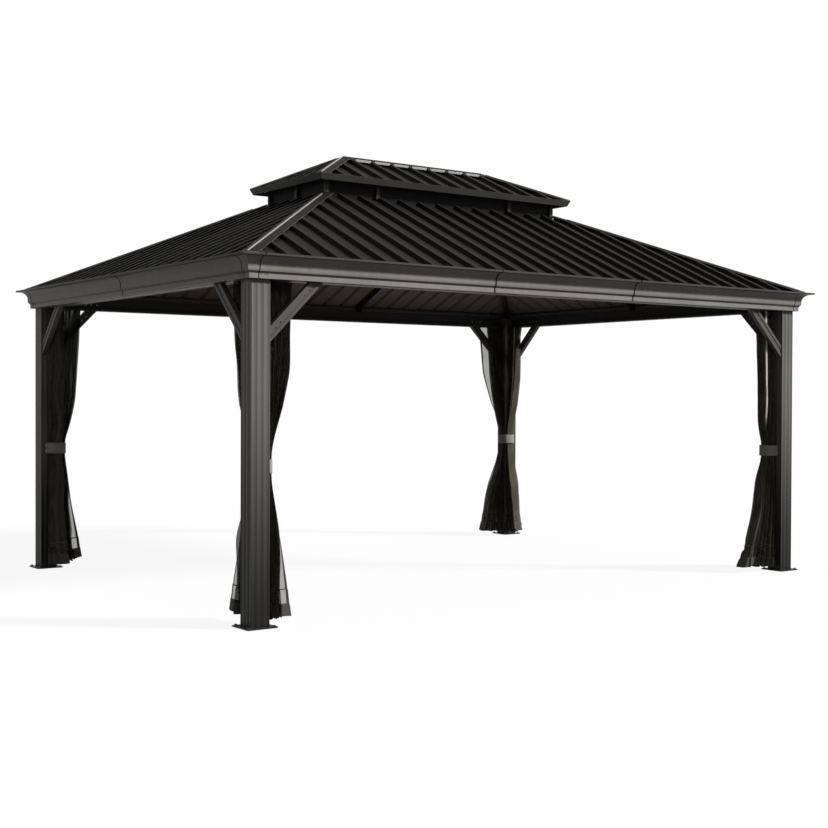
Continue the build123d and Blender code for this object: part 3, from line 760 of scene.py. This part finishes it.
class Panel:
    """One netting panel, hung from its track beside a post and drawn in by the tie."""

    # Of the long and the short panel: reach along the track at the top, at the shoulder, the shoulder's
    # height, reach at the hem, the share of it that the gathered body takes above and below the tie,
    # and the height where the leading edge starts to hang open
    habits = {
        "front_left": (
            (0.168, 0.166, 1.46, 0.195, 1, 0.52, 0.72),
            (0.185, 0.180, 1.64, 0.300, 1, 0.42, 0.90),
        ),
        "front_right": (
            (0.160, 0.138, 1.22, 0.352, 1, 1, 0.50),
            (0.115, 0.100, 1.22, 0.270, 1, 1, 0.50),
        ),
        "back_right": (
            (0.305, 0.255, 1.52, 0.268, 0.58, 1, 0.50),
            (0.165, 0.136, 1.45, 0.165, 1, 1, 0.50),
        ),
        "back_left": (
            (0.195, 0.148, 1.25, 0.214, 1, 0.64, 0.88),
            (0.150, 0.140, 1.20, 0.200, 1, 1, 0.50),
        ),
    }
    # Panels whose zip edge is turned back over the bundle, outside (-1) or inside (1) it
    turned = {("front_right", True): -1, ("back_right", False): 1}
    stitching = 0.007

    def __init__(self, corner, along_long_side, sizes):
        self.signs = corners[corner]
        self.long = along_long_side
        self.width = sizes.long_width if along_long_side else sizes.short_width
        self.pleats = sizes.long_pleats if along_long_side else sizes.short_pleats
        self.random = np.random.default_rng(sizes.seed + 10 * list(corners).index(corner) + along_long_side)
        self.habit = self.habits[corner][0 if along_long_side else 1]
        self.turn = self.turned.get((corner, along_long_side), 0)
        self.inner_x, self.inner_y = inner_edge(corner)
        self.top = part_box(f"{corner}_netting")[1].z - 0.001
        self.phase = self.random.uniform(0, 6)
        self.sizes = sizes

    def heights(self):
        """Heights of the rows above the hem's lower edge."""
        sizes = self.sizes
        fall = self.top - sizes.lift
        hem = [0, 0.02, sizes.hem * 0.7, sizes.hem, sizes.hem + self.stitching]
        seam = [0.11, sizes.seam, sizes.seam + self.stitching]
        return np.array(hem + seam + list(np.linspace(sizes.seam + 0.04, fall, 70)))

    def shares(self):
        """Shares of the flat width at the columns, from the post to the leading edge."""
        binding = self.sizes.binding * (1.4 if self.turn else 1) / self.width
        return np.append(np.linspace(0, 1 - binding, self.pleats * 10 + 1), [1 - binding / 2, 1])

    def waves(self, rows, columns, rounds):
        """Smooth noise about 0, different in each row."""
        raw = self.random.normal(0, 1, (rows, columns))
        for _ in range(rounds):
            raw[1:-1] = raw[:-2] / 4 + raw[1:-1] / 2 + raw[2:] / 4
        return raw / raw.std()

    def build(self):
        """The panel's points row by row, the rows' heights and the columns' shares of the width."""
        waist_low, waist_high, waist_reach = 0.840, 0.970, 0.056
        track_inset, turned_width, deepest = 0.034, 0.085, 0.2
        rise = self.heights()
        share = self.shares()
        rows, columns = len(rise), len(share)
        height = self.sizes.lift + rise
        top, shoulder, shoulder_height, hem, upper_body, lower_body, opening = self.habit
        levels = (self.sizes.lift, waist_low, waist_high, shoulder_height, self.top)
        reaches = (hem, waist_reach, waist_reach, shoulder, top)
        reach = eased(np.interp(height, levels, reaches), 3)[:, None]
        above = smooth_step((height - waist_high) / 0.3)[:, None]
        below = smooth_step((waist_low - height) / 0.4)[:, None]
        hanging = np.clip((opening - height) / (opening - 0.2), 0, 1)[:, None]
        opened = (1 - upper_body) * above + (1 - lower_body) * hanging
        loose = np.maximum(above, below)

        # How far along the track each column stands: the gathered body, then one open layer
        t = share[None, :]
        body = 1 - 1.1 * float((opened * reach).max()) / self.width
        fan = np.where(t < body, (1 - opened) * t / body, 1 - opened * (1 - t) / (1 - body + 1e-9))
        drift = self.waves(rows, columns, 16)
        drift = np.apply_along_axis(eased, 1, drift, 12)
        run = np.sort(fan + drift / drift.std() * 0.008 * loose * (t < 0.97 * body), axis=1).clip(0, 1)
        last = 1 - turned_width / self.width
        folded = smooth_step((t - last) / 0.012) * abs(self.turn)
        run = np.where(folded > 0, 1 - 0.3 * (t - last) / (1 - last), run)

        # The panel's line in plan: along the track from the post, turned in across the corner at the tie
        near = 0.012 + 0.008 * above + 0.004 * below
        p = near + (reach - near) * run
        q = -track_inset - 0.002 * (1 - loose) + 0.6 * (p - near) * (1 - loose)

        # Pleats: deep and shallow ones in groups, gathered into larger folds away from the track
        group = self.waves(rows, self.pleats * 2 + 2, 26)
        spots = np.linspace(0, 1, group.shape[1])
        depth = np.stack([np.interp(share, spots, row) for row in group])
        depth = 1 + depth / depth.std() * 0.16 * loose
        wander = self.waves(rows, 7, 30)
        wander = np.stack([np.interp(share, np.linspace(0, 1, 7), row) for row in wander])
        wave = np.sin(2 * math.pi * self.pleats * t + 0.5 * wander * loose) * depth.clip(0.6, 1.22)
        large = 0.75 * below + 0.3 * above * (1 - smooth_step((height - 1.3) / 0.25)[:, None])
        wave = wave + large * np.sin(2 * math.pi * self.pleats / 3 * t + 0.8 * wander + self.phase)
        flat_edge = smooth_step((t - body) / 0.02) * np.clip(opened * 4, 0, 1)
        wave = wave * (1 - 0.9 * flat_edge) * (1 - 0.5 * smooth_step((t - 0.97) / 0.03))

        # One depth for each row keeps the cloth's width
        low, high = np.zeros((rows, 1)), np.full((rows, 1), deepest)
        for _ in range(40):
            half = (low + high) / 2
            back = folded * self.turn * (half * 1.1 + 0.005) * (0.5 + 0.5 * loose)
            bent = q + half * wave * (1 - folded) + back
            across = np.hypot(np.diff(p, axis=1), np.diff(bent, axis=1))
            longer = across.sum(axis=1, keepdims=True) > self.width
            high = np.where(longer, half, high)
            low = np.where(longer, low, half)
        q = bent

        # The hem dips and lifts, and hangs a little higher at the leading edge
        sag = eased(self.random.normal(0, 0.02, columns), 40)
        lift = (sag + 0.018 * share) * smooth_step((0.6 - rise) / 0.6)[:, None]
        z = height[:, None] + lift
        if not self.long:
            p, q = q, p
        sx, sy = self.signs
        x = sx * (self.inner_x - p)
        y = sy * (self.inner_y - q)
        spots = np.stack([x, y, z], axis=2).reshape(-1, 3)
        return spots, rise, share

    def mesh(self, name):
        """The panel as a mesh, with its flat sizes as UVs and its tapes as material slots."""
        spots, rise, share = self.build()
        columns = len(share)
        faces = []
        slots = []
        for j in range(len(rise) - 1):
            for i in range(columns - 1):
                a = j * columns + i
                faces.append((a, a + 1, a + columns + 1, a + columns))
                if rise[j + 1] <= self.sizes.hem + 0.0001:
                    slots.append(1)
                elif rise[j + 1] - rise[j] < self.stitching + 0.0005 and rise[j] < 0.2:
                    slots.append(2)
                else:
                    slots.append(3 if i >= columns - 3 and (rise[j] > 0.9 or not self.turn) else 0)
        mesh = bpy.data.meshes.new(name)
        mesh.from_pydata(spots.tolist(), [], faces)
        mesh.polygons.foreach_set("material_index", slots)
        flat = mesh.uv_layers.new(name="flat")
        for loop in mesh.loops:
            row, column = divmod(loop.vertex_index, columns)
            flat.data[loop.index].uv = (share[column] * self.width, rise[row])
        mesh.update()
        return mesh


class GAZEBO_OT_hang_netting(bpy.types.Operator):
    """Hangs two netting panels at each corner and draws them in to the tie"""

    bl_idname = "gazebo.hang_netting"
    bl_label = "Hang netting"

    def execute(self, context):
        sizes = context.scene.gazebo_netting
        finishes = context.scene.gazebo_finishes
        pitch = 0.004
        net = net_cloth("netting_cloth", finishes.netting)
        hem = woven_tape("hem_tape", finishes.tape, pitch)
        seam = woven_tape("seam_stitching", finishes.netting, pitch)
        zip_tape = woven_tape("zip_tape", finishes.zip, pitch)
        binding = woven_tape("edge_binding", shaded(finishes.netting, 0.5), pitch)
        for corner in corners:
            for along_long_side in (True, False):
                panel = Panel(corner, along_long_side, sizes)
                name = f"{corner}_{'long' if along_long_side else 'short'}_panel"
                piece = add_piece(name, panel.mesh(name), net, hem, seam, zip_tape if panel.turn else binding)
                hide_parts(f"{corner}_netting")
        return {"FINISHED"}


def add_strip(shape, flat, line, height, thick, width):
    """A soft-edged band along a line of points in plan, each with its outward direction."""
    section = [(-0.5, 0.0), (-0.5, 0.7), (-0.42, 1.0), (0.42, 1.0), (0.5, 0.7), (0.5, 0.0)]
    crown = 0.0012
    rows = []
    run = 0.0
    for index, (spot, out) in enumerate(line):
        if index:
            run += (spot - line[index - 1][0]).length
        ring = []
        for level, depth in section:
            rounding = crown * (1 - (2 * level) ** 2)
            point = spot + out * (thick * depth + rounding) + Vector((0, 0, height + level * width))
            ring.append(shape.verts.new(point))
        rows.append((ring, run))
    for (lower, start), (upper, stop) in zip(rows, rows[1:]):
        for a in range(len(section)):
            b = (a + 1) % len(section)
            face = shape.faces.new((lower[a], upper[a], upper[b], lower[b]))
            for loop, along, level in zip(face.loops, (start, stop, stop, start), (a, a, b, b)):
                loop[flat].uv = (along, section[level][0] * width)
    shape.faces.new(rows[0][0][::-1])
    shape.faces.new(rows[-1][0])


class GAZEBO_OT_tie_netting(bpy.types.Operator):
    """Holds each bundle to its post by a webbing strap with a snap at each end"""

    bl_idname = "gazebo.tie_netting"
    bl_label = "Tie netting"

    def strap_line(self):
        """The strap's line in plan from one face of the post to the other, with its outward directions."""
        half = [(0.0006, -0.086), (0.0006, -0.076), (0.017, -0.077), (0.0625, -0.050), (0.0625, 0.030)]
        line = [Vector((p, q, 0)) for p, q in half] + [Vector((q, p, 0)) for p, q in reversed(half)]
        for _ in range(3):
            cut = [line[0]]
            for near, far in zip(line, line[1:]):
                cut += [near.lerp(far, 0.25), near.lerp(far, 0.75)]
            line = cut + [line[-1]]
        return [(spot, way.to_3d()) for spot, way in zip(line, side_ways(line))]

    def execute(self, context):
        finishes = context.scene.gazebo_finishes
        low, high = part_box("netting_ties")
        thick = 0.0022
        snap_radius, snap_offset, snap_stand = 0.005, 0.02, 0.0034
        straps = bmesh.new()
        flat = straps.loops.layers.uv.new("flat")
        snaps = bmesh.new()
        level = Vector((0, 0, (low.z + high.z) / 2))
        for corner, (sx, sy) in corners.items():
            inner_x, inner_y = inner_edge(corner)
            line = []
            for spot, out in self.strap_line():
                place = Vector((sx * (inner_x - spot.x), sy * (inner_y - spot.y), 0))
                line.append((place, Vector((-sx * out.x, -sy * out.y, 0))))
            add_strip(straps, flat, line, level.z, thick, high.z - low.z)
            for spot, out in (line[1], line[-2]):
                for drop in (-snap_offset, snap_offset):
                    seat = spot + out * snap_stand + level + Vector((0, 0, drop))
                    add_bolt(snaps, seat, out, snap_radius)
        bmesh.ops.recalc_face_normals(straps, faces=straps.faces)
        webbing = woven_tape("strap_webbing", finishes.strap, 0.005)
        strap = add_piece("tie_straps", finished_mesh("tie_straps", straps), webbing)
        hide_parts("netting_ties")
        zinc = bare_metal("zinc_plate", finishes.zinc, roughness=0.36)
        add_piece("tie_snaps", finished_mesh("tie_snaps", snaps), zinc, smooth=False)
        return {"FINISHED"}


class GAZEBO_OT_set_stage(bpy.types.Operator):
    """Sets the floor, the light and the camera"""

    bl_idname = "gazebo.set_stage"
    bl_label = "Set stage"

    def execute(self, context):
        stage = context.scene.gazebo_stage
        context.scene.view_settings.view_transform = "Standard"
        self.add_floor(stage)
        self.add_lights(stage)
        self.add_camera(stage)
        return {"FINISHED"}

    def seen(self, start):
        """1 for rays that show the background, 0 for those that carry light."""
        kinds = ("Camera", "Glossy", "Transmission")
        rays = [start.node("ShaderNodeLightPath", output=f"Is {kind} Ray") for kind in kinds]
        return start.math("MAXIMUM", start.math("MAXIMUM", rays[0], rays[1]), rays[2])

    def add_floor(self, stage):
        """A bright floor just under the foot plates, clear when it is seen from below."""
        half_size, drop = 60, 0.0008
        shape = bmesh.new()
        bmesh.ops.create_grid(shape, x_segments=1, y_segments=1, size=half_size)
        floor = bpy.data.objects.new("floor", finished_mesh("floor", shape))
        floor.location.z = -drop
        bpy.context.scene.collection.objects.link(floor)

        def build(start):
            glow = start.node("ShaderNodeEmission", sockets={"Color": (1, 1, 1), "Strength": 1.05})
            matt = start.node("ShaderNodeBsdfDiffuse", sockets={"Color": stage.floor[:]})
            dull = start.node("ShaderNodeBsdfDiffuse", sockets={"Color": shaded(stage.floor, 0.10)})
            pale = start.node("ShaderNodeMixShader", sockets={0: 0.86, 1: matt, 2: glow})
            top = start.node("ShaderNodeMixShader", sockets={0: self.seen(start), 1: dull, 2: pale})
            clear = start.node("ShaderNodeBsdfTransparent")
            below = start.node("ShaderNodeNewGeometry", output="Backfacing")
            return start.node("ShaderNodeMixShader", sockets={0: below, 1: top, 2: clear})

        floor.data.materials.append(new_finish("studio_floor", build))

    def add_lights(self, stage):
        """An even white world, and a sun from the front right."""
        world = bpy.data.worlds.new("studio")
        world.use_nodes = True
        world.node_tree.nodes.clear()
        start = Shade(world.node_tree)
        seen = self.seen(start)
        strength = seen * (1 - stage.fill) + stage.fill
        light = start.node("ShaderNodeBackground", sockets={"Color": (1, 1, 1), "Strength": strength})
        start.node("ShaderNodeOutputWorld", sockets={"Surface": light})
        bpy.context.scene.world = world
        key = bpy.data.lights.new("key", "SUN")
        key.energy = stage.key
        key.angle = math.radians(8)
        lamp = bpy.data.objects.new("key", key)
        azimuth, elevation = math.radians(50), math.radians(27)
        toward = Vector((
            math.sin(azimuth) * math.cos(elevation),
            -math.cos(azimuth) * math.cos(elevation),
            math.sin(elevation),
        ))
        lamp.rotation_euler = toward.to_track_quat("Z", "Y").to_euler()
        bpy.context.scene.collection.objects.link(lamp)

    def add_camera(self, stage):
        """The camera, at the front left and at chest height."""
        camera = bpy.data.cameras.new("camera")
        camera.lens = stage.lens
        camera.sensor_width = 36
        camera.clip_end = 200
        holder = bpy.data.objects.new("camera", camera)
        place = Vector((-5.9848, -8.3251, 1.3065))
        heading, tilt, roll = (math.radians(a) for a in (35.7369, -0.76, 0.2122))
        turn = Matrix.Rotation(-heading, 4, "Z") @ Matrix.Rotation(math.pi / 2 + tilt, 4, "X")
        turn = turn @ Matrix.Rotation(roll, 4, "Z")
        holder.matrix_world = Matrix.Translation(place) @ turn
        bpy.context.scene.collection.objects.link(holder)
        bpy.context.scene.camera = holder


steps = (
    GAZEBO_OT_paint_frame,
    GAZEBO_OT_paint_fascia,
    GAZEBO_OT_paint_roof,
    GAZEBO_OT_fit_ridge_highlights,
    GAZEBO_OT_darken_seams,
    GAZEBO_OT_roll_crests,
    GAZEBO_OT_fit_fasteners,
    GAZEBO_OT_hang_netting,
    GAZEBO_OT_tie_netting,
    GAZEBO_OT_set_stage,
)


class GAZEBO_PT_panel(bpy.types.Panel):
    """Lists the gazebo's steps and settings"""

    bl_idname = "GAZEBO_PT_panel"
    bl_label = "Hardtop Gazebo"
    bl_space_type = "VIEW_3D"
    bl_region_type = "UI"
    bl_category = "Gazebo"

    def draw(self, context):
        for step in steps:
            self.layout.operator(step.bl_idname)
        for name in groups:
            settings = getattr(context.scene, name)
            box = self.layout.box()
            for entry in settings.__annotations__:
                box.prop(settings, entry)


groups = {
    "gazebo_finishes": GazeboFinishes,
    "gazebo_netting": GazeboNetting,
    "gazebo_fasteners": GazeboFasteners,
    "gazebo_stage": GazeboStage,
}


def register():
    for kind in (*groups.values(), *steps, GAZEBO_PT_panel):
        bpy.utils.register_class(kind)
    for name, kind in groups.items():
        setattr(bpy.types.Scene, name, PointerProperty(type=kind))


def unregister():
    for name in groups:
        delattr(bpy.types.Scene, name)
    for kind in reversed((*groups.values(), *steps, GAZEBO_PT_panel)):
        bpy.utils.unregister_class(kind)


def main():
    register()
    bpy.ops.gazebo.paint_frame()
    bpy.ops.gazebo.paint_fascia()
    bpy.ops.gazebo.paint_roof()
    bpy.ops.gazebo.fit_closures()
    bpy.ops.gazebo.seal_seams()
    bpy.ops.gazebo.roll_crests()
    bpy.ops.gazebo.fit_fasteners()
    bpy.ops.gazebo.hang_netting()
    bpy.ops.gazebo.tie_netting()
    bpy.ops.gazebo.set_stage()


if __name__ == "__main__":
    main()
